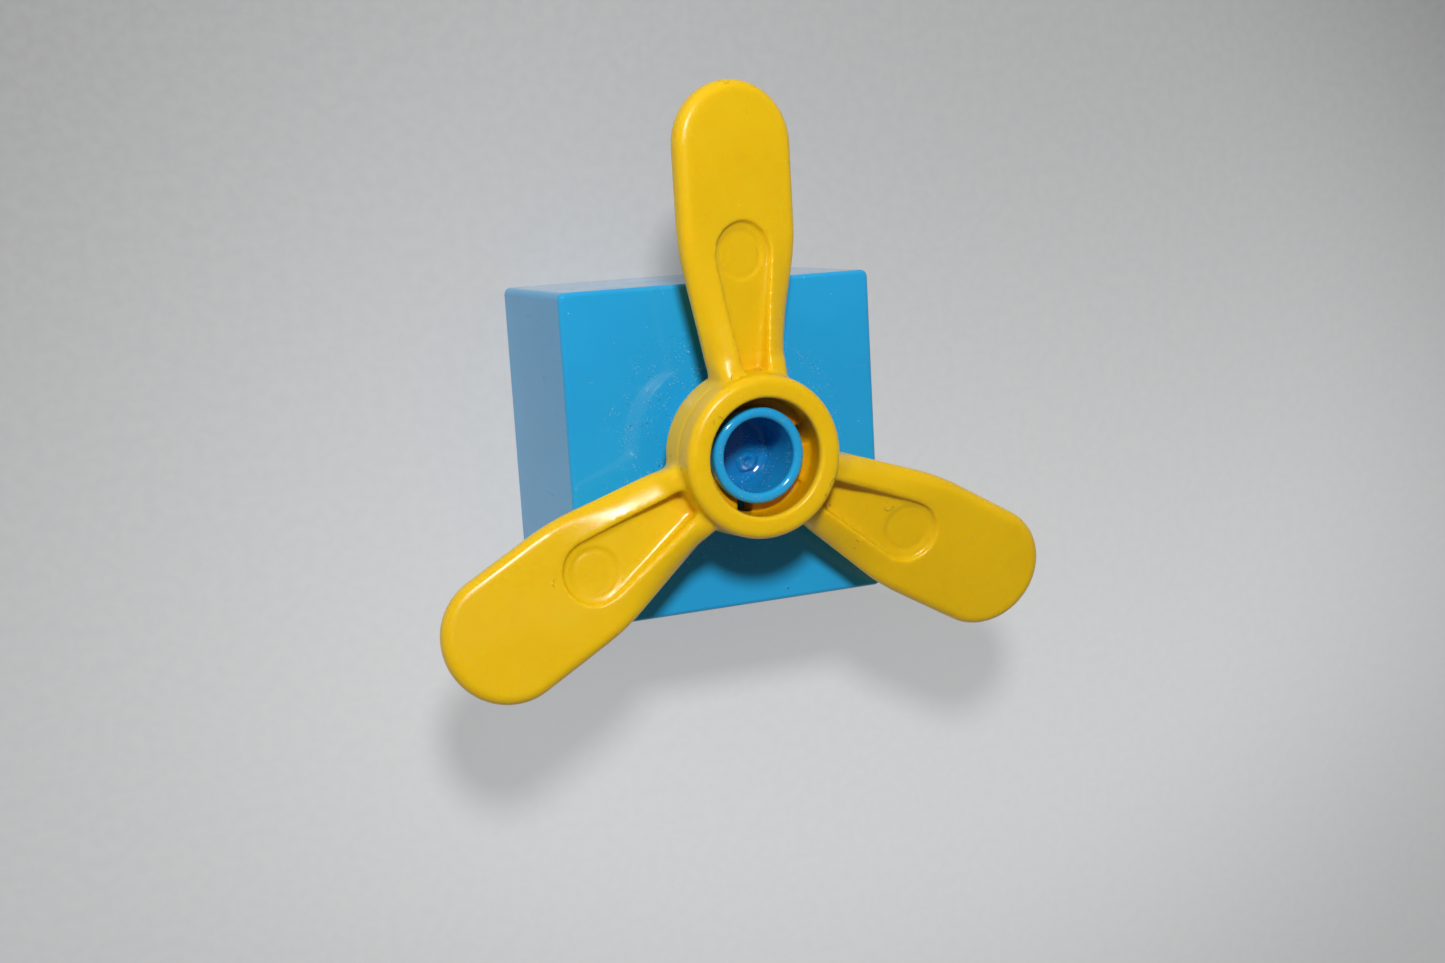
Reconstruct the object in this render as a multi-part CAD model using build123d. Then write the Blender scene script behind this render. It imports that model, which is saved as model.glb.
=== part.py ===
from build123d import *
import math
import os

# Toddler-size propeller brick: a 2 x 2 brick with a smooth top, whose moulded post
# carries a three-blade propeller that snaps over it and spins freely.
# Units are millimetres. The origin is the centre of the brick's underside, +Z runs
# along the propeller's axis, and the blade named first points along +Y.

# --- driving dimensions of the brick system ---
STUD_PITCH = 16.0
STUD_RADIUS = 4.7
BRICK_HEIGHT = 19.2
BRICK_GAP = 0.2

# --- modelling allowances ---
OVERLAP = 0.3
OVERCUT = 1.0
TOLERANCE = 0.01

# --- brick ---
BRICK_WIDTH = 2 * STUD_PITCH - BRICK_GAP
CORNER_RADIUS = 0.7
TOP_EDGE_RADIUS = 0.45
UNDER_EDGE_RADIUS = 0.2
WALL = 1.5
TOP_PLATE = 1.6
RIB_THICKNESS = 1.2
TUBE_BORE_RADIUS = 5.3

# --- post on the brick's top face ---
COLLAR_RADIUS = 6.0
COLLAR_HEIGHT = 3.7
NECK_RADIUS = 4.3
RIM_RADIUS = 4.5
RIM_UNDER = 6.3
RIM_UNDER_CHAMFER = 0.2
POST_HEIGHT = 7.8
RIM_ROUNDING = 0.42
CUP_RADIUS = 3.5
CUP_FLOOR = 1.5
CUP_FLOOR_ROUNDING = 0.8

# --- propeller hub, heights above the brick's top face ---
HUB_BACK = 3.8
HUB_FRONT = 9.5
HUB_BACK_RADIUS = 8.0
HUB_FRONT_RADIUS = 7.55
HUB_FRONT_ROUNDING = 0.85
HUB_BACK_ROUNDING = 0.15
COUNTERBORE_RADIUS = 5.5
COUNTERBORE_ROUNDING = 0.35
LEDGE_TOP = 6.2
RUNNING_CLEARANCE = 0.06
LUG_RISE = 1.2
LUG_INNER_RISE = 0.1
LUG_SPAN = 40.0
WINDOW_SPAN = 20.0
LUG_START = 86.0

# --- propeller blades: each is flat, turned by the pitch about its long axis ---
BLADE_COUNT = 3
BLADE_PITCH = 10.0
BLADE_MIDDLE = 5.08
BLADE_THICKNESS = 2.2
TIP_RADIUS = 34.2
TIP_LENGTH = 5.9
BLADE_HALF_WIDTH = 6.12
ROOT_AT = 6.4
ROOT_HALF_WIDTH = 3.47
TAPER_MEETS_WIDTH_AT = 19.1
SHOULDER_ARC = 23.0
RISE_FROM = 22.0
RIB_MEETS_HUB_AT = 7.7
RIB_RISE = 1.4
FRONT_ROUNDING = 1.0
BACK_ROUNDING = 0.8
ROOT_CORNER = 0.1

# --- teardrop pocket in each blade, depths below the flat front ---
POCKET_CENTRE = 18.5
POCKET_RADIUS = 3.0
POCKET_TAPER = 9.3
POCKET_DEPTH = 0.45
POCKET_ROUNDING = 0.3
DISC_RADIUS = 2.1
DISC_DEPTH = 0.12


def ring_sector(inner, outer, low, high, start, span):
    """A block between two radii and two heights, over part of a turn."""
    profile = Plane.XZ * Pos((inner + outer) / 2, (low + high) / 2) * Rectangle(outer - inner, high - low)
    return Rot(0, 0, start) * revolve(profile, Axis.Z, span)


def outer_block():
    block = extrude(Rectangle(BRICK_WIDTH, BRICK_WIDTH), BRICK_HEIGHT)
    block = fillet(block.edges().filter_by(Axis.Z), CORNER_RADIUS)
    block = fillet(block.faces().sort_by(Axis.Z)[-1].edges(), TOP_EDGE_RADIUS)
    return fillet(block.faces().sort_by(Axis.Z)[0].edges(), UNDER_EDGE_RADIUS)


def clutch_ribs():
    """Upright ribs on the inner walls, each touching one stud of the brick below."""
    wall_inside = BRICK_WIDTH / 2 - WALL
    reach = STUD_PITCH / 2 + STUD_RADIUS
    depth = BRICK_HEIGHT - TOP_PLATE / 2
    foot = wall_inside + OVERLAP
    rib = Pos((foot + reach) / 2, STUD_PITCH / 2, depth / 2) * Box(foot - reach, RIB_THICKNESS, depth)
    pair = [rib, mirror(rib, Plane.XZ)]
    return [Rot(0, 0, 90 * side) * one for side in range(4) for one in pair]


def post():
    """Collar, neck and snap rim as one turned shape, hollow like a cup."""
    with BuildPart() as turned:
        with BuildSketch(Plane.XZ):
            with BuildLine():
                Polyline(
                    (0, -TOP_PLATE),
                    (COLLAR_RADIUS, -TOP_PLATE),
                    (COLLAR_RADIUS, COLLAR_HEIGHT),
                    (NECK_RADIUS, COLLAR_HEIGHT),
                    (NECK_RADIUS, RIM_UNDER),
                    (RIM_RADIUS, RIM_UNDER + RIM_UNDER_CHAMFER),
                    (RIM_RADIUS, POST_HEIGHT),
                    (CUP_RADIUS, POST_HEIGHT),
                    (CUP_RADIUS, CUP_FLOOR),
                    (0, CUP_FLOOR),
                    close=True,
                )
            make_face()
        revolve(axis=Axis.Z)
        lip = turned.edges().filter_by(GeomType.CIRCLE).filter_by(
            lambda edge: abs(edge.center().Z - POST_HEIGHT) < TOLERANCE
        )
        fillet(lip, RIM_ROUNDING)
        cup_edge = turned.edges().filter_by(GeomType.CIRCLE).filter_by(
            lambda edge: abs(edge.center().Z - CUP_FLOOR) < TOLERANCE
        )
        fillet(cup_edge, CUP_FLOOR_ROUNDING)
    return Pos(0, 0, BRICK_HEIGHT) * turned.part


def brick_body():
    cavity_width = BRICK_WIDTH - 2 * WALL
    cavity_height = BRICK_HEIGHT - TOP_PLATE
    cavity = Pos(0, 0, cavity_height / 2) * Box(cavity_width, cavity_width, cavity_height)
    tube_radius = STUD_PITCH / math.sqrt(2) - STUD_RADIUS
    tube = extrude(Circle(tube_radius) - Circle(TUBE_BORE_RADIUS), BRICK_HEIGHT - TOP_PLATE / 2)
    shell = outer_block() - cavity
    return shell + clutch_ribs() + tube + post()


def hub():
    """Solid hub of the propeller, tapered a little towards its front."""
    with BuildPart() as turned:
        with BuildSketch(Plane.XZ):
            with BuildLine():
                Polyline(
                    (0, HUB_BACK),
                    (HUB_BACK_RADIUS, HUB_BACK),
                    (HUB_FRONT_RADIUS, HUB_FRONT),
                    (0, HUB_FRONT),
                    close=True,
                )
            make_face()
        revolve(axis=Axis.Z)
        circles = turned.edges().filter_by(GeomType.CIRCLE).sort_by(Axis.Z)
        fillet(circles[-1], HUB_FRONT_ROUNDING)
        circles = turned.edges().filter_by(GeomType.CIRCLE).sort_by(Axis.Z)
        fillet(circles[0], HUB_BACK_ROUNDING)
    return turned.part


def blade_outline():
    """Plan of a blade along +X: tapered root, parallel paddle and rounded tip."""
    tip_centre = TIP_RADIUS - TIP_LENGTH
    with BuildSketch() as plan:
        with BuildLine():
            FilletPolyline(
                (ROOT_AT, 0),
                (ROOT_AT, ROOT_HALF_WIDTH),
                (TAPER_MEETS_WIDTH_AT, BLADE_HALF_WIDTH),
                (tip_centre, BLADE_HALF_WIDTH),
                radius=(ROOT_CORNER, SHOULDER_ARC),
            )
            EllipticalCenterArc(
                (tip_centre, 0), TIP_LENGTH, BLADE_HALF_WIDTH, start_angle=0, arc_size=90
            )
            Line((TIP_RADIUS, 0), (ROOT_AT, 0))
        make_face()
        mirror(about=Plane.XZ)
    return plan.sketch


def blade_side():
    """Side view of a blade: flat paddle whose front rises in one arc to the hub."""
    front = BLADE_THICKNESS / 2
    past_tip = TIP_RADIUS + OVERCUT
    rib_top = front + RIB_RISE
    with BuildSketch(Plane.XZ) as side:
        with BuildLine():
            Polyline(
                (0, rib_top),
                (0, -front),
                (past_tip, -front),
                (past_tip, front),
                (RISE_FROM, front),
            )
            TangentArc((RISE_FROM, front), (RIB_MEETS_HUB_AT, rib_top), tangent=(-1, 0))
            Line((RIB_MEETS_HUB_AT, rib_top), (0, rib_top))
        make_face()
    return side.sketch


def pocket():
    """Teardrop hollow, open towards the hub, with a round moulding mark in its floor."""
    slope = math.radians(POCKET_TAPER)
    touch = (POCKET_CENTRE - POCKET_RADIUS * math.sin(slope), POCKET_RADIUS * math.cos(slope))
    inside_hub = ROOT_AT - OVERCUT
    end_half_width = touch[1] - (touch[0] - inside_hub) * math.tan(slope)
    with BuildSketch() as plan:
        with BuildLine():
            Polyline(
                (touch[0], -touch[1]),
                (inside_hub, -end_half_width),
                (inside_hub, end_half_width),
                touch,
            )
            ThreePointArc(touch, (POCKET_CENTRE + POCKET_RADIUS, 0), (touch[0], -touch[1]))
        make_face()
    hollow = extrude(plan.sketch, POCKET_DEPTH + 2 * RIB_RISE)
    floor = hollow.faces().sort_by(Axis.Z)[0]
    hollow = fillet(floor.edges().sort_by(Axis.X)[1:], POCKET_ROUNDING)
    mark = Pos(POCKET_CENTRE, 0, -DISC_DEPTH / 2) * Cylinder(DISC_RADIUS, DISC_DEPTH)
    return Pos(0, 0, BLADE_THICKNESS / 2 - POCKET_DEPTH) * (hollow + mark)


def blade():
    """One blade along +X, turned by the pitch, with its middle at its height on the hub."""
    height = 2 * (BLADE_THICKNESS + RIB_RISE)
    body = extrude(Pos(0, 0, -height / 2) * blade_outline(), height)
    body = body & extrude(blade_side(), 2 * BLADE_HALF_WIDTH, both=True)
    face = BLADE_THICKNESS / 2 - TOLERANCE
    outside = body.edges().filter_by(lambda edge: edge.center().X > ROOT_AT + OVERLAP)
    body = fillet(outside.filter_by(lambda edge: edge.center().Z < -face), BACK_ROUNDING)
    outside = body.edges().filter_by(lambda edge: edge.center().X > ROOT_AT + OVERLAP)
    rims = outside.filter_by(lambda edge: edge.center().Z > face and abs(edge.center().Y) > OVERCUT)
    body = fillet(rims, FRONT_ROUNDING)
    return Pos(0, 0, BLADE_MIDDLE) * Rot(BLADE_PITCH, 0, 0) * (body - pocket())


def hub_cutout():
    """Counterbore with a rounded front edge, and a running bore through the ledge."""
    flare = COUNTERBORE_RADIUS + COUNTERBORE_ROUNDING
    below = HUB_FRONT - COUNTERBORE_ROUNDING
    halfway = COUNTERBORE_ROUNDING * math.sqrt(0.5)
    bore_radius = NECK_RADIUS + RUNNING_CLEARANCE
    with BuildPart() as turned:
        with BuildSketch(Plane.XZ):
            with BuildLine():
                Polyline(
                    (flare, HUB_FRONT),
                    (0, HUB_FRONT),
                    (0, HUB_BACK - OVERCUT),
                    (bore_radius, HUB_BACK - OVERCUT),
                    (bore_radius, LEDGE_TOP),
                    (COUNTERBORE_RADIUS, LEDGE_TOP),
                    (COUNTERBORE_RADIUS, below),
                )
                ThreePointArc(
                    (COUNTERBORE_RADIUS, below), (flare - halfway, below + halfway), (flare, HUB_FRONT)
                )
            make_face()
        revolve(axis=Axis.Z)
    return turned.part


def snap_lug(start):
    """A sloped lug on the ledge, higher at the counterbore's wall."""
    inner = RIM_RADIUS + 2 * RUNNING_CLEARANCE
    outer = COUNTERBORE_RADIUS + OVERLAP
    profile = Plane.XZ * Polygon(
        (inner, LEDGE_TOP - OVERLAP),
        (outer, LEDGE_TOP - OVERLAP),
        (outer, LEDGE_TOP + LUG_RISE),
        (inner, LEDGE_TOP + LUG_INNER_RISE),
        align=None,
    )
    return Rot(0, 0, start) * revolve(profile, Axis.Z, LUG_SPAN)


def propeller():
    step = 360 / BLADE_COUNT
    shape = hub() + [Rot(0, 0, 90 + index * step) * blade() for index in range(BLADE_COUNT)]
    shape = shape - hub_cutout()
    for index in range(BLADE_COUNT):
        lug_start = LUG_START + index * step
        shape = shape + snap_lug(lug_start)
        shape = shape - ring_sector(
            NECK_RADIUS - OVERLAP,
            COUNTERBORE_RADIUS,
            HUB_BACK - OVERCUT,
            LEDGE_TOP + OVERCUT,
            lug_start + LUG_SPAN,
            WINDOW_SPAN,
        )
    return Pos(0, 0, BRICK_HEIGHT) * shape


os.makedirs("parts", exist_ok=True)
for name, solid in (("brick_body", brick_body()), ("propeller", propeller())):
    print(name, "solids", len(solid.solids()), "volume", round(solid.volume, 1), "valid", solid.is_valid)
    export_step(solid, f"parts/{name}.step")
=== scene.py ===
import math

import bmesh
import bpy
import numpy as np
from mathutils import Matrix, Vector


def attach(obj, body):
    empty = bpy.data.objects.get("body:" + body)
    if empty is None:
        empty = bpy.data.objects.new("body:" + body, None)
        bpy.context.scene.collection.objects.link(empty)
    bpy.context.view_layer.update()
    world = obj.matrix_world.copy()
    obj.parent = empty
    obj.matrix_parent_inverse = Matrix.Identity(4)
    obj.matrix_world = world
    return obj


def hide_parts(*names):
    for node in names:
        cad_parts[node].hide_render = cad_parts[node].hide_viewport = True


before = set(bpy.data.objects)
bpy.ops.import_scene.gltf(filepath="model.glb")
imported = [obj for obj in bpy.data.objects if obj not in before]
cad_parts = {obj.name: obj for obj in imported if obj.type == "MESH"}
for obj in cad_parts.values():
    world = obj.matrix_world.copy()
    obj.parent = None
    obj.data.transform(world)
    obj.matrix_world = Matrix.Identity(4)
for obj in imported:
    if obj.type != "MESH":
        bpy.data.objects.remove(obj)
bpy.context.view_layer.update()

MM = 0.001

# Constants are in mm and degrees unless they are multiplied by MM or say otherwise. A RAMP is
# (low, high, value at low, value at high), and a BAND is (low, high, soft width on each side).

# --- camera: looks down on the propeller from the upper left, as the photograph does ---
CAMERA_TARGET = Vector((-3.1, -2.3, 25.0)) * MM
CAMERA_DISTANCE = 158.1 * MM
CAMERA_AZIMUTH = 155.6
CAMERA_ELEVATION = 66.5
CAMERA_ROLL = 3.4
CAMERA_LENS = 42.4
SENSOR_WIDTH = 36.0
CLIP_START = 5 * MM

# --- light: one compact key light in a pale room that darkens towards the ceiling ---
KEY_DIRECTION = Vector((-0.30, 0.63, 1.0))
KEY_DISTANCE = 260 * MM
KEY_RADIUS = 20 * MM
KEY_POWER = 2.60
ROOM_COLOUR = (0.80, 0.80, 0.80, 1)
ROOM_RAMP = (0.05, 0.65, 0.48, 0.14)

# --- floor: pale paper that glows by the amounts below; these ramps are in metres ---
FLOOR_REACH = 2.0
PAPER_DARK = (0.26, 0.26, 0.265)
PAPER_PALE = (0.28, 0.28, 0.282)
PAPER_ROUGHNESS = 0.75
GLOW_COLOUR = (0.98, 0.99, 1.0, 1)
GLOW_ALONG_Y_RAMP = (-0.05, 0.075, 0.43, 0.115)
GLOW_DIMMED_CENTRE = (0.03, 0, 0)
GLOW_DIMMED_RAMP = (0.05, 0.12, 0.0, 0.15)
GLOW_FAR_RAMP = (0.11, 0.40, 0.0, 0.30)

# --- places on the object ---
FACE_TOP = 19.2
CUP_FLOOR = 1.5
HUB_RADIUS = 8.0
BLADE_ANGLES = (90, 210, 330)
BLADE_SPACING = 120
BLADE_PITCH = 10
BLADE_MIDDLE = 5.08

# --- the two plastics, with painted shade in the bore and in creases; heights of the shaded bore are over the brick's top face, and skin is the wave height ---
BLUE_PLASTIC = {
    "colour": (0.018, 0.350, 0.680),
    "deep": (0.016, 0.325, 0.645),
    "dust": (0.35, 0.62, 0.78),
    "dirt": (0.01, 0.03, 0.05),
    "bore_radius": 3.55,
    "shaded_bore_top": 7.8,
    "bore_shade_colour": (0.006, 0.165, 0.410),
    "crease_shade_colour": None,
    "roughness": 0.035,
    "specular": 0.5,
    "skin": 0.006,
    "subsurface": 0.0,
    "dusty": 1.0,
}
YELLOW_PLASTIC = {
    "colour": (0.790, 0.505, 0.005),
    "deep": (0.765, 0.480, 0.004),
    "dust": (0.90, 0.72, 0.25),
    "dirt": (0.16, 0.08, 0.01),
    "bore_radius": 5.75,
    "shaded_bore_top": 9.2,
    "bore_shade_colour": (0.56, 0.245, 0.0),
    "crease_shade_colour": (0.72, 0.33, 0.0),
    "roughness": 0.25,
    "specular": 0.30,
    "skin": 0.022,
    "subsurface": 0.6,
    "dusty": 0.0,
}
PLASTIC_IOR = 1.52
SUBSURFACE_RADIUS = (1.0, 0.55, 0.12)
SUBSURFACE_SCALE = 0.9 * MM
DRIFT_SIZE = 14
DRIFT_RAMP = (0.35, 0.65)
# soft edges and reach of the painted shade inside the bore and in creases
BORE_SHADE_SOFT_SIDE = 0.1
BORE_SHADE_SOFT_TOP = 0.6
CREASE_SHADE_REACH = 1.6 * MM
CREASE_SHADE_RAMP = (0.35, 0.92)
SMEAR_SIZE = 5
SMEAR_LEVELS = (0.35, 0.7)
SMEAR_ROUGHNESS = 0.10
WEAR_ROUGHNESS = 0.30
WAVE_SIZE = 3.2
GRAIN_SIZE = 0.45
GRAIN_OF_SKIN = 0.05
SPECK_HEIGHT = 0.03
SCRATCH_HEIGHT = 0.01

# --- wear: specks are (spacing, share of cells, radius), hairs (turn, length, width, threshold) ---
FINE_SPECKS = (0.47, 0.06, 0.09)
CLOUD_SPECKS = (0.22, 0.55, 0.075)
CLOUD_GRAINS = (0.7, 0.2, 0.13)
LINT_SPECKS = (2.6, 0.22, 0.16)
SOOT_SPECKS = (0.52, 0.4, 0.13)
SPECK_CORE = 0.55
FIBRE_SPACING = 3.4
FIBRE_SHARE = 0.24
FIBRE_RADIUS = 0.5
FIBRE_EDGES = (0.06, 0.02)
FIBRE_PART_SIZE = 0.9
FIBRE_PART_RAMP = (0.50, 0.60)
SCRATCHES = ((35, 3.0, 0.10, 0.79), (-52, 4.0, 0.12, 0.80))
SCRATCH_TILT = (0.3, 0.2)
SCRATCH_SOFT = 0.03
PATCH_SIZE = 7
PATCH_RAMP = (0.48, 0.62)
CLUMP_SIZE = 1.4
CLUMP_RAMP = (0.44, 0.62)
CLOUD_RAMP = (14.5 * MM, 9.5 * MM)
FINE_OPACITY = 0.50
LINT_OPACITY = 0.45
SCRATCH_OPACITY = 0.10

# --- propeller moulding: first the passes of smoothing, then where each of them works ---
WELD_DISTANCE = 0.001 * MM
VOXEL = 0.16 * MM
EDGE_PASSES = 5
RIB_PASSES = 40
CREST_PASSES = 80
ROOT_PASSES = 34
RIB_RADII_BAND = (8.5, 13.0, 6.0)
RIB_CLEAR_OF_HUB_BAND = (8.5, 40, 0.5)
ROOT_RADII_BAND = (7.3, 8.9, 0.6)
ROOT_HEIGHTS_BAND = (3.9, 8.0, 0.4)
CREST_HALF_WIDTH = 3.8
CREST_FLARE = 0.21
CREST_ALONG_BAND = (8.8, 13, 5)
CREST_EDGE_BAND = (-1.3, 3, 0.8)
CREST_FRONT_BAND = (0.4, 9, 0.5)
CREST_CLEAR_OF_HUB_BAND = (8.7, 40, 0.5)
RIB_INNER_AT_MARK = 3.3
RIB_TAPER = 9.3
CROWN_FROM = 20
CROWN_LENGTH = 7
CROWN_SLOPE = 0.36
CROWN_FRONT = 1.2
CROWN_CLEAR_OF_HUB_BAND = (HUB_RADIUS + 0.9, 40, 0.7)

# --- marks of the mould: the parting line round the hub, a soft ring on each blade, the gate ---
SEAM_HEIGHT = 6.8
SEAM_WIDTH = 0.16
SEAM_DEPTH = 0.10
SEAM_RADII_BAND = (7.4, 8.1, 0.1)
SEAM_CLEAR_OF_BLADE_BAND = (33, 60, 4)
MARK_CENTRE = 18.5
MARK_RADIUS = 2.15
MARK_WIDTH = 0.26
MARK_DEPTH = 0.10
MARK_HEIGHTS_BAND = (BLADE_MIDDLE, 12, 0.3)
GATE_PLACE = (1.2, -1.4)
GATE_STEPS = 48
GATE_SCALE = 0.8
GATE_LOBES = ((0.06, 2, 0.7), (0.03, 5, 0.0))
GATE_CENTRE_HEIGHT = 0.05
GATE_PROFILE = (
    (0.28, 0.10), (0.55, 0.30), (0.80, 0.34), (1.05, 0.26), (1.30, 0.08), (1.50, -0.05), (1.30, -0.2),
)


def link(item):
    bpy.context.scene.collection.objects.link(item)
    return item


# ---------------------------------------------------------------- node helpers


def add(tree, kind, inputs=None, **settings):
    """A shader node; an input given as a socket is linked, anything else is its value."""
    item = tree.nodes.new(kind)
    for key, value in settings.items():
        setattr(item, key, value)
    for socket, value in (inputs or {}).items():
        if isinstance(value, bpy.types.NodeSocket):
            tree.links.new(value, item.inputs[socket])
        else:
            item.inputs[socket].default_value = value
    return item


def new_material(name):
    """A material with its node tree and its Principled shader."""
    material = bpy.data.materials.new(name)
    material.use_nodes = True
    return material, material.node_tree, material.node_tree.nodes["Principled BSDF"]


def maths(tree, operation, first, second):
    return add(tree, "ShaderNodeMath", {0: first, 1: second}, operation=operation).outputs[0]


def split(tree, place):
    """The X, Y and Z sockets of a vector."""
    return add(tree, "ShaderNodeSeparateXYZ", {"Vector": place}).outputs


def ramp(tree, value, low, high, to_low=0.0, to_high=1.0):
    """Value mapped smoothly from the range low..high to to_low..to_high, and held outside it."""
    inputs = {"Value": value, "From Min": low, "From Max": high, "To Min": to_low, "To Max": to_high}
    return add(tree, "ShaderNodeMapRange", inputs, interpolation_type="SMOOTHSTEP").outputs[0]


def noise(tree, place, size, detail=2.0):
    """Noise with features of about the given size."""
    inputs = {"Vector": place, "Scale": 1.0 / (size * MM), "Detail": detail}
    return add(tree, "ShaderNodeTexNoise", inputs).outputs["Fac"]


def mixed(tree, factor, first, second):
    """Colour between first and second, each a socket or three numbers."""
    item = add(tree, "ShaderNodeMix", {"Factor": factor}, data_type="RGBA")
    for socket, value in ((item.inputs[6], first), (item.inputs[7], second)):
        if isinstance(value, bpy.types.NodeSocket):
            tree.links.new(value, socket)
        else:
            socket.default_value = (*value, 1)
    return item.outputs[2]


# ---------------------------------------------------------------- studio


def direction(azimuth, elevation):
    """Unit vector for an azimuth from +X and an elevation from the floor."""
    turn, rise = math.radians(azimuth), math.radians(elevation)
    return Vector((math.cos(rise) * math.cos(turn), math.cos(rise) * math.sin(turn), math.sin(rise)))


def add_camera():
    towards = -direction(CAMERA_AZIMUTH, CAMERA_ELEVATION)
    upward = Vector((0, 1, 0))
    upward = (upward - towards * upward.dot(towards)).normalized()
    upward = Matrix.Rotation(math.radians(CAMERA_ROLL), 3, towards) @ upward
    sideways = towards.cross(upward)
    data = bpy.data.cameras.new("camera")
    data.lens = CAMERA_LENS
    data.sensor_width = SENSOR_WIDTH
    data.clip_start = CLIP_START
    camera = link(bpy.data.objects.new("camera", data))
    place = CAMERA_TARGET - towards * CAMERA_DISTANCE
    turned = Matrix((sideways, upward, -towards)).transposed()
    camera.matrix_world = Matrix.Translation(place) @ turned.to_4x4()
    bpy.context.scene.camera = camera


def add_key_light():
    data = bpy.data.lights.new("key_light", "POINT")
    data.energy = KEY_POWER
    data.shadow_soft_size = KEY_RADIUS
    light = link(bpy.data.objects.new("key_light", data))
    light.location = Vector((0, 0, FACE_TOP)) * MM + KEY_DIRECTION.normalized() * KEY_DISTANCE


def add_world():
    world = bpy.data.worlds.new("pale_room")
    bpy.context.scene.world = world
    world.use_nodes = True
    tree = world.node_tree
    background = tree.nodes["Background"]
    background.inputs["Color"].default_value = ROOM_COLOUR
    rise = split(tree, add(tree, "ShaderNodeTexCoord").outputs["Generated"])["Z"]
    tree.links.new(ramp(tree, rise, *ROOM_RAMP), background.inputs["Strength"])


def floor_paper():
    """Pale paper that glows a little, so that shadows on it stay light."""
    material, tree, shader = new_material("floor_paper")
    place = add(tree, "ShaderNodeTexCoord").outputs["Object"]
    paper = mixed(tree, ramp(tree, noise(tree, place, 1.2, 4), 0.3, 0.7), PAPER_DARK, PAPER_PALE)

    inputs = {0: place, 1: GLOW_DIMMED_CENTRE}
    from_centre = add(tree, "ShaderNodeVectorMath", inputs, operation="DISTANCE").outputs["Value"]
    from_origin = add(tree, "ShaderNodeVectorMath", {0: place}, operation="LENGTH").outputs["Value"]
    dimmed = ramp(tree, from_centre, *GLOW_DIMMED_RAMP)
    near = maths(tree, "SUBTRACT", ramp(tree, split(tree, place)["Y"], *GLOW_ALONG_Y_RAMP), dimmed)
    strength = maths(tree, "MAXIMUM", near, ramp(tree, from_origin, *GLOW_FAR_RAMP))

    tree.links.new(paper, shader.inputs["Base Color"])
    tree.links.new(strength, shader.inputs["Emission Strength"])
    shader.inputs["Emission Color"].default_value = GLOW_COLOUR
    shader.inputs["Roughness"].default_value = PAPER_ROUGHNESS
    return material


def add_floor():
    mesh = bpy.data.meshes.new("floor")
    reach = FLOOR_REACH
    corners = [(-reach, -reach, 0), (reach, -reach, 0), (reach, reach, 0), (-reach, reach, 0)]
    mesh.from_pydata(corners, [], [(0, 1, 2, 3)])
    mesh.materials.append(floor_paper())
    link(bpy.data.objects.new("floor", mesh))


# ---------------------------------------------------------------- plastic


def cells_in(tree, place, spacing):
    """Distance to the middle of the cell, in cells, and two random numbers of the cell."""
    inputs = {"Vector": place, "Scale": 1.0 / (spacing * MM)}
    cells = add(tree, "ShaderNodeTexVoronoi", inputs)
    chance = add(tree, "ShaderNodeSeparateColor", {"Color": cells.outputs["Color"]})
    return cells.outputs["Distance"], chance.outputs[0], chance.outputs[1]


def specks(tree, place, spacing, share, radius):
    """Scattered round specks: one in each cell, kept for a share of the cells."""
    distance, chance, _ = cells_in(tree, place, spacing)
    spot = ramp(tree, distance, radius / spacing, SPECK_CORE * radius / spacing)
    return maths(tree, "MULTIPLY", spot, maths(tree, "LESS_THAN", chance, share))


def fibres(tree, place):
    """Tiny curled fibres: part of a thin ring in a share of the cells."""
    distance, _, chance = cells_in(tree, place, FIBRE_SPACING)
    gap = maths(tree, "SUBTRACT", distance, FIBRE_RADIUS / FIBRE_SPACING)
    gap = maths(tree, "ABSOLUTE", gap, 0.0)
    line = ramp(tree, gap, *(edge / FIBRE_SPACING for edge in FIBRE_EDGES))
    part = ramp(tree, noise(tree, place, FIBRE_PART_SIZE, 1), *FIBRE_PART_RAMP)
    kept = maths(tree, "LESS_THAN", chance, FIBRE_SHARE)
    return maths(tree, "MULTIPLY", maths(tree, "MULTIPLY", line, part), kept)


def hairs(tree, place, turn, length, width, threshold):
    """Short fine scratches lying in one direction."""
    stretch = (1.0 / length, 1.0 / width, 1.0 / length)
    inputs = {"Vector": place, "Rotation": (*SCRATCH_TILT, math.radians(turn)), "Scale": stretch}
    lay = add(tree, "ShaderNodeMapping", inputs).outputs[0]
    return ramp(tree, noise(tree, lay, 1.0, 1.0), threshold, threshold + SCRATCH_SOFT)


def pigment_and_painted_shade(tree, place, from_axis, look):
    """Colour that drifts a little, with painted shade: darker inside the bore and, if given, darker and
    redder in creases.
    """
    drift = ramp(tree, noise(tree, place, DRIFT_SIZE, 3), *DRIFT_RAMP)
    base = mixed(tree, drift, look["deep"], look["colour"])
    # painted shade: the colour turns darker inside the bore, where shade falls
    side, top = look["bore_radius"] * MM, (FACE_TOP + look["shaded_bore_top"]) * MM
    within = ramp(tree, from_axis, side, side - BORE_SHADE_SOFT_SIDE * MM)
    sunk = ramp(tree, split(tree, place)["Z"], top, top - BORE_SHADE_SOFT_TOP * MM)
    base = mixed(tree, maths(tree, "MULTIPLY", within, sunk), base, look["bore_shade_colour"])
    # painted shade: the colour turns darker and redder in creases found by ambient occlusion
    if look["crease_shade_colour"]:
        seen = add(tree, "ShaderNodeAmbientOcclusion", {"Distance": CREASE_SHADE_REACH}, samples=8)
        openness = ramp(tree, seen.outputs["AO"], *CREASE_SHADE_RAMP)
        base = mixed(tree, openness, look["crease_shade_colour"], base)
    return base


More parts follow.
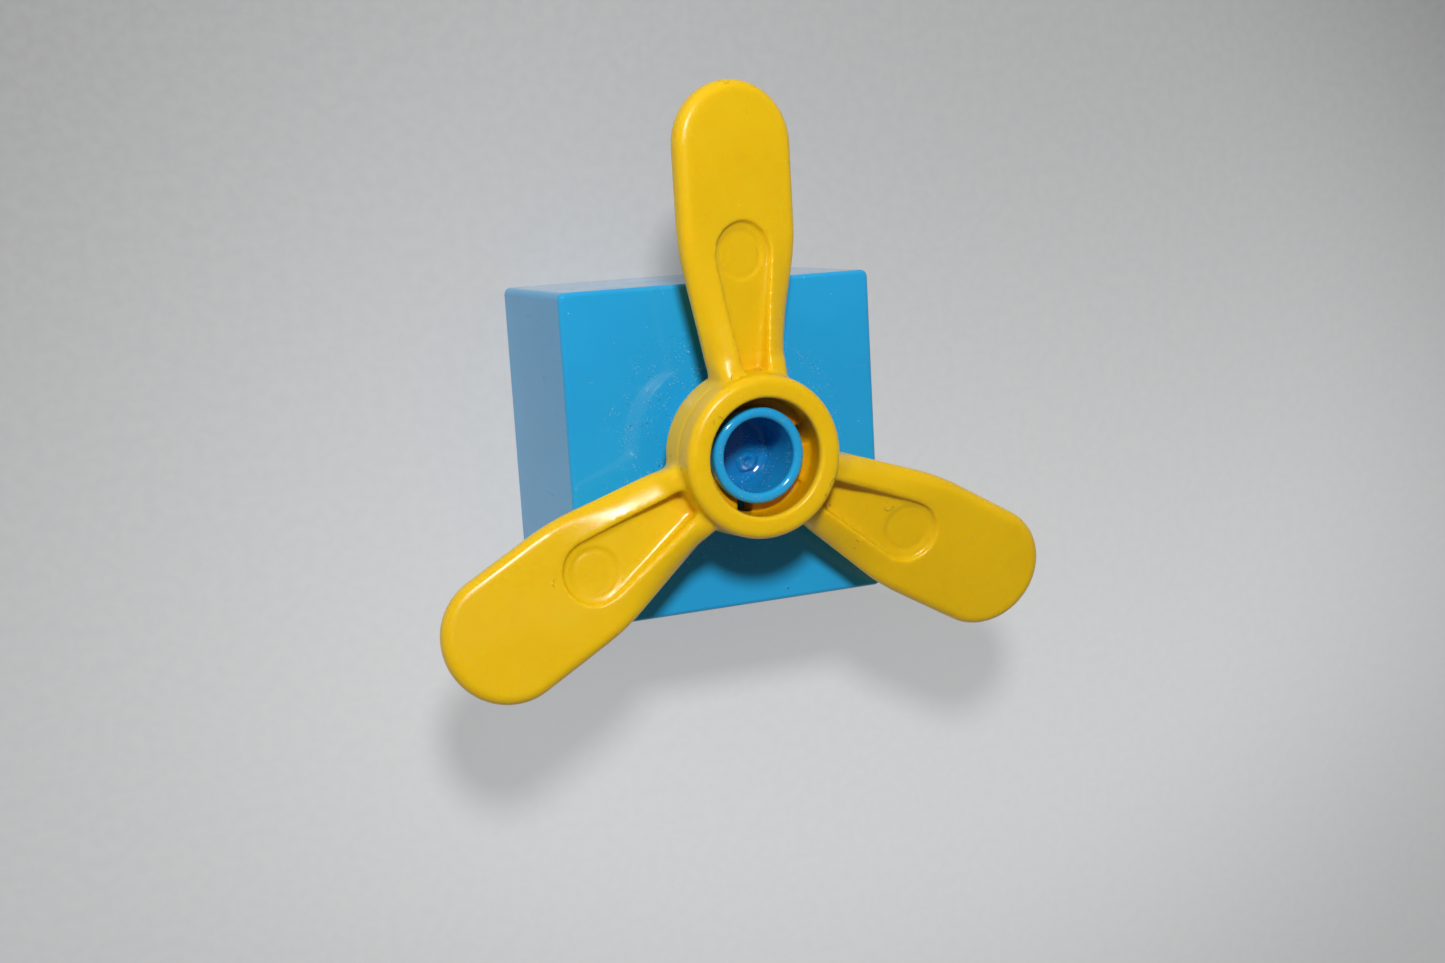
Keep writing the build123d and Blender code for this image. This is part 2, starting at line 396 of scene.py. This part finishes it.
def wear(tree, place, from_axis, dusty):
    """Masks of fine dust, of dark lint and of scratches, with a cloud of dust round the post."""
    patch = ramp(tree, noise(tree, place, PATCH_SIZE, 3), *PATCH_RAMP)
    clump = ramp(tree, noise(tree, place, CLUMP_SIZE, 3), *CLUMP_RAMP)
    around = maths(tree, "MULTIPLY", ramp(tree, from_axis, *CLOUD_RAMP), clump)
    around = maths(tree, "MULTIPLY", around, dusty)

    cloud = specks(tree, place, *CLOUD_SPECKS)
    cloud = maths(tree, "MAXIMUM", cloud, specks(tree, place, *CLOUD_GRAINS))
    cloud = maths(tree, "MULTIPLY", cloud, around)
    fine = maths(tree, "MULTIPLY", specks(tree, place, *FINE_SPECKS), patch)
    fine = maths(tree, "MAXIMUM", fine, cloud)

    lint = maths(tree, "MAXIMUM", specks(tree, place, *LINT_SPECKS), fibres(tree, place))
    soot = maths(tree, "MULTIPLY", specks(tree, place, *SOOT_SPECKS), around)
    lint = maths(tree, "MAXIMUM", lint, soot)

    first, second = (hairs(tree, place, *scratch) for scratch in SCRATCHES)
    return fine, lint, maths(tree, "MAXIMUM", first, second)


def relief(tree, place, fine, lint, scratch, skin):
    """Normal of a surface with faint sink waves, raised specks and shallow scratches."""
    waves = maths(tree, "MULTIPLY", noise(tree, place, WAVE_SIZE, 1), skin)
    grain = maths(tree, "MULTIPLY", noise(tree, place, GRAIN_SIZE, 1), skin * GRAIN_OF_SKIN)
    raised = maths(tree, "MULTIPLY", maths(tree, "ADD", fine, lint), SPECK_HEIGHT)
    height = maths(tree, "ADD", maths(tree, "ADD", waves, grain), raised)
    height = maths(tree, "SUBTRACT", height, maths(tree, "MULTIPLY", scratch, SCRATCH_HEIGHT))
    return add(tree, "ShaderNodeBump", {"Height": height, "Strength": 1.0, "Distance": MM}).outputs[0]


def plastic(name, look):
    """Glossy moulded plastic with the wear of handling and painted shade in its bore and creases."""
    material, tree, shader = new_material(name)
    place = add(tree, "ShaderNodeTexCoord").outputs["Object"]
    axes = split(tree, place)
    flat = add(tree, "ShaderNodeCombineXYZ", {"X": axes["X"], "Y": axes["Y"]}).outputs[0]
    from_axis = add(tree, "ShaderNodeVectorMath", {0: flat}, operation="LENGTH").outputs["Value"]
    fine, lint, scratch = wear(tree, place, from_axis, look["dusty"])

    base = pigment_and_painted_shade(tree, place, from_axis, look)
    base = mixed(tree, maths(tree, "MULTIPLY", fine, FINE_OPACITY), base, look["dust"])
    base = mixed(tree, maths(tree, "MULTIPLY", lint, LINT_OPACITY), base, look["dirt"])
    base = mixed(tree, maths(tree, "MULTIPLY", scratch, SCRATCH_OPACITY), base, look["dust"])

    smeared = (look["roughness"], look["roughness"] + SMEAR_ROUGHNESS)
    smear = ramp(tree, noise(tree, place, SMEAR_SIZE, 4), *SMEAR_LEVELS, *smeared)
    dull = maths(tree, "MULTIPLY", maths(tree, "MAXIMUM", fine, scratch), WEAR_ROUGHNESS)

    tree.links.new(base, shader.inputs["Base Color"])
    tree.links.new(maths(tree, "ADD", smear, dull), shader.inputs["Roughness"])
    tree.links.new(relief(tree, place, fine, lint, scratch, look["skin"]), shader.inputs["Normal"])
    shader.inputs["IOR"].default_value = PLASTIC_IOR
    shader.inputs["Specular IOR Level"].default_value = look["specular"]
    shader.inputs["Subsurface Weight"].default_value = look["subsurface"]
    shader.inputs["Subsurface Radius"].default_value = SUBSURFACE_RADIUS
    shader.inputs["Subsurface Scale"].default_value = SUBSURFACE_SCALE
    return material


def dress(piece, material):
    piece.data.materials.clear()
    piece.data.materials.append(material)


# ---------------------------------------------------------------- mesh helpers


def apply_modifiers(piece):
    graph = bpy.context.evaluated_depsgraph_get()
    mesh = bpy.data.meshes.new_from_object(piece.evaluated_get(graph))
    piece.modifiers.clear()
    piece.data = mesh


def points_of(piece):
    """The piece's points in mm, one row each."""
    flat = np.empty(3 * len(piece.data.vertices))
    piece.data.vertices.foreach_get("co", flat)
    return flat.reshape(-1, 3) / MM


def move_points(piece, points):
    piece.data.vertices.foreach_set("co", (points * MM).ravel())
    piece.data.update()


def shade_smooth(piece):
    piece.data.polygons.foreach_set("use_smooth", [True] * len(piece.data.polygons))


def smooth(piece, passes, weights=None):
    """Smooths the whole piece, or each point by its weight, rounded to tenths."""
    modifier = piece.modifiers.new("smooth", "SMOOTH")
    modifier.factor = 0.5
    modifier.iterations = passes
    if weights is not None:
        group = piece.vertex_groups.new(name="weights")
        for level in range(1, 11):
            chosen = np.nonzero(np.round(weights * 10).astype(int) == level)[0]
            group.add([int(index) for index in chosen], level / 10, "REPLACE")
        modifier.vertex_group = group.name
    apply_modifiers(piece)
    piece.vertex_groups.clear()


def band(value, low, high, soft):
    """1 between low and high, falling to 0 over the soft width on each side."""
    return np.clip((value - low) / soft + 1, 0, 1) * np.clip((high - value) / soft + 1, 0, 1)


# ---------------------------------------------------------------- propeller


def hub_places(points):
    """Each point's distance from the axis and its height over the brick's top face."""
    return np.hypot(points[:, 0], points[:, 1]), points[:, 2] - FACE_TOP


def blade_places(points):
    """Each point's place in each blade's frame: along it, across it, in front of its mid-plane."""
    pitch = math.radians(BLADE_PITCH)
    for angle in BLADE_ANGLES:
        turn = math.radians(angle)
        along = points[:, 0] * math.cos(turn) + points[:, 1] * math.sin(turn)
        across = points[:, 1] * math.cos(turn) - points[:, 0] * math.sin(turn)
        above = points[:, 2] - FACE_TOP - BLADE_MIDDLE
        yield along, across, above * math.cos(pitch) - across * math.sin(pitch)


def rib_weights(piece):
    """Weights for the blades near the hub, where their ribs are rounder."""
    radius, _ = hub_places(points_of(piece))
    return band(radius, *RIB_RADII_BAND) * band(radius, *RIB_CLEAR_OF_HUB_BAND)


def crown_ribs(piece):
    """Slopes the top of each rib outwards near the hub, where the ribs are crowned."""
    points = points_of(piece)
    drop = np.zeros(len(points))
    for along, across, front in blade_places(points):
        inner = RIB_INNER_AT_MARK - (MARK_CENTRE - along) * math.tan(math.radians(RIB_TAPER))
        near = np.clip((CROWN_FROM - along) / CROWN_LENGTH, 0, 1)
        near *= band(along, *CROWN_CLEAR_OF_HUB_BAND)
        past = np.maximum(0, np.abs(across) - inner)
        drop += CROWN_SLOPE * past * near * np.clip(front / CROWN_FRONT, 0, 1)
    points[:, 2] -= drop
    move_points(piece, points)


def crest_weights(piece):
    """Weights for the outer front edges of the blades near the hub, where they are roundest."""
    points = points_of(piece)
    weights = np.zeros(len(points))
    for along, across, front in blade_places(points):
        edge = np.abs(across) - CREST_HALF_WIDTH - CREST_FLARE * (along - HUB_RADIUS)
        here = band(along, *CREST_ALONG_BAND) * band(edge, *CREST_EDGE_BAND)
        here *= band(front, *CREST_FRONT_BAND)
        here *= band(np.hypot(along, across), *CREST_CLEAR_OF_HUB_BAND)
        weights = np.maximum(weights, here)
    return weights


def root_weights(piece):
    """Weights for the corners where the blades leave the hub."""
    radius, height = hub_places(points_of(piece))
    return band(radius, *ROOT_RADII_BAND) * band(height, *ROOT_HEIGHTS_BAND)


def mark_moulding(piece):
    """Cuts the parting line round the hub and a soft ring into the front of each blade."""
    points = points_of(piece)
    radius, height = hub_places(points)
    turn = np.degrees(np.arctan2(points[:, 1], points[:, 0]))
    half = BLADE_SPACING / 2
    from_blade = np.abs((turn - BLADE_ANGLES[0] + half) % BLADE_SPACING - half)
    groove = SEAM_DEPTH * np.exp(-(((height - SEAM_HEIGHT) / SEAM_WIDTH) ** 2))
    groove *= band(radius, *SEAM_RADII_BAND) * band(from_blade, *SEAM_CLEAR_OF_BLADE_BAND)
    points[:, :2] *= (1 - groove / radius)[:, None]
    front = band(height, *MARK_HEIGHTS_BAND)
    for angle in BLADE_ANGLES:
        centre = MARK_CENTRE * math.cos(math.radians(angle)), MARK_CENTRE * math.sin(math.radians(angle))
        ring = np.hypot(points[:, 0] - centre[0], points[:, 1] - centre[1]) - MARK_RADIUS
        points[:, 2] -= MARK_DEPTH * np.exp(-((ring / MARK_WIDTH) ** 2)) * front
    move_points(piece, points)


def moulded_propeller():
    """The propeller's solid with blended blade roots, softened details and its mould marks."""
    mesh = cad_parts["propeller"].data.copy()
    work = bmesh.new()
    work.from_mesh(mesh)
    bmesh.ops.remove_doubles(work, verts=work.verts, dist=WELD_DISTANCE)
    work.to_mesh(mesh)
    work.free()
    piece = link(bpy.data.objects.new("propeller_moulding", mesh))
    remesh = piece.modifiers.new("voxels", "REMESH")
    remesh.mode = "VOXEL"
    remesh.voxel_size = VOXEL
    apply_modifiers(piece)

    smooth(piece, EDGE_PASSES)
    smooth(piece, RIB_PASSES, rib_weights(piece))
    crown_ribs(piece)
    smooth(piece, CREST_PASSES, crest_weights(piece))
    smooth(piece, ROOT_PASSES, root_weights(piece))
    mark_moulding(piece)
    shade_smooth(piece)
    return piece


# ---------------------------------------------------------------- brick


def gate_mark():
    """Low ring with a dimple, left by the moulding gate on the floor of the post's cup."""
    work = bmesh.new()
    rings = []
    for radius, height in GATE_PROFILE:
        ring = []
        for step in range(GATE_STEPS):
            turn = 2 * math.pi * step / GATE_STEPS
            lobes = (size * math.sin(count * turn + shift) for size, count, shift in GATE_LOBES)
            reach = radius * sum(lobes, GATE_SCALE)
            place = (reach * math.cos(turn), reach * math.sin(turn), CUP_FLOOR + height)
            ring.append(work.verts.new(Vector(place) * MM))
        rings.append(ring)
    top = work.verts.new(Vector((0, 0, CUP_FLOOR + GATE_CENTRE_HEIGHT)) * MM)
    for index in range(GATE_STEPS):
        after = (index + 1) % GATE_STEPS
        work.faces.new((top, rings[0][index], rings[0][after]))
        for inner, outer in zip(rings, rings[1:]):
            work.faces.new((inner[index], outer[index], outer[after], inner[after]))
    work.faces.new(reversed(rings[-1]))
    mesh = bpy.data.meshes.new("gate_mark")
    work.to_mesh(mesh)
    work.free()
    mesh.transform(Matrix.Translation(Vector((*GATE_PLACE, FACE_TOP)) * MM))
    piece = link(bpy.data.objects.new("gate_mark", mesh))
    piece.modifiers.new("subdivision", "SUBSURF").levels = 2
    apply_modifiers(piece)
    shade_smooth(piece)
    return piece


bpy.context.scene.view_settings.view_transform = "Standard"
add_camera()
add_world()
add_floor()
add_key_light()

blue = plastic("blue_plastic", BLUE_PLASTIC)
yellow = plastic("yellow_plastic", YELLOW_PLASTIC)
dress(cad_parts["brick_body"], blue)
mark = gate_mark()
dress(mark, blue)
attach(mark, "brick")
propeller = moulded_propeller()
dress(propeller, yellow)
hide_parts("propeller")
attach(propeller, "rotor")
